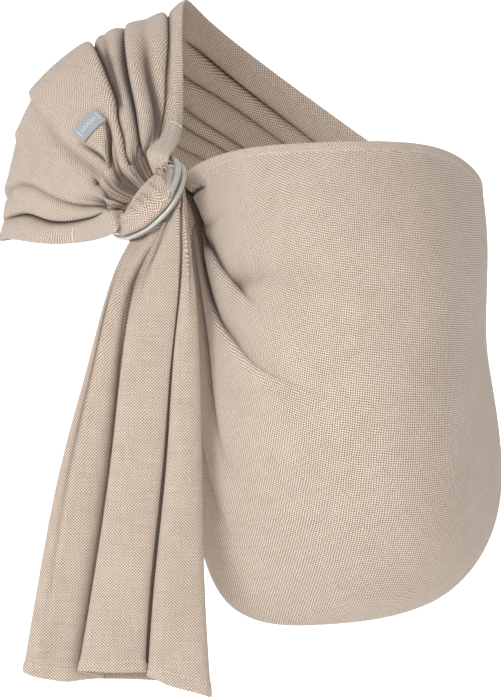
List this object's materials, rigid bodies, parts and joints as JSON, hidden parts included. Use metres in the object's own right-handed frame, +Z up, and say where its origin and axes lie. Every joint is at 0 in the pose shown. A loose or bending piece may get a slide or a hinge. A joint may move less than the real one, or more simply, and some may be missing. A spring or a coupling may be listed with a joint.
{
  "type": "baby ring sling",
  "caption": "Worn baby ring sling: a woven wrap gathered into rings at the shoulder, with a front pouch and a hanging tail.",
  "frame": {"origin": "the crest of the wearer's shoulder, under the cloth", "axes": "+X to the wearer's left, +Y to the wearer's back, +Z up"},
  "size_m": [0.4533, 0.4298, 0.627],
  "materials": {
    "cloth": "matte two-tone weave",
    "hem": "matte weave, folded and stitched",
    "rings": "anodised satin",
    "label": "woven ribbon",
    "thread": "sewing thread"
  },
  "bodies": {
    "wrap": {"ring_casing": "cloth", "shoulder_pleats": "cloth", "shoulder_cap": "cloth", "back_panel": "cloth", "side_wrap": "cloth", "pouch_front": "cloth", "pouch_seat": "cloth", "pouch_gather": "cloth", "neck_rail_hem": "hem", "back_top_hem": "hem", "pouch_top_hem": "hem", "arm_rail_hem": "hem", "back_lower_hem": "hem", "pouch_seat_hem": "hem", "label_tab": "label", "neck_bar_tack": "thread", "arm_bar_tack": "thread"},
    "top_ring": {"ring_top": "rings", "ring_turn": "cloth"},
    "bottom_ring": {"ring_bottom": "rings"},
    "tail_neck": {"tail_neck": "cloth"},
    "tail": {"tail_drop": "cloth", "tail_end_hem": "hem", "tail_left_hem": "hem", "tail_right_hem": "hem"}
  },
  "joints": [
    {"name": "top_ring_lift", "type": "hinge", "parent": "wrap", "child": "top_ring", "pos_m": [-0.00772, -0.11858, -0.15387], "axis": [-0.677, 0, -0.736], "range_deg": [0, 15]},
    {"name": "bottom_ring_lift", "type": "hinge", "parent": "wrap", "child": "bottom_ring", "pos_m": [-0.00294, -0.11483, -0.15827], "axis": [-0.677, 0, -0.736], "range_deg": [0, 6]},
    {"name": "tail_pull", "type": "slide", "parent": "wrap", "child": "tail_neck", "axis": [0, 0, -1], "range_m": [0, 0.05]},
    {"name": "tail_swing", "type": "hinge", "parent": "tail_neck", "child": "tail", "pos_m": [0.017, -0.197, -0.232], "axis": [-1, 0, 0], "range_deg": [0, 75]}
  ],
  "couplings": [
    {"joint": "bottom_ring_lift", "follows": "top_ring_lift", "ratio": 0.4}
  ]
}
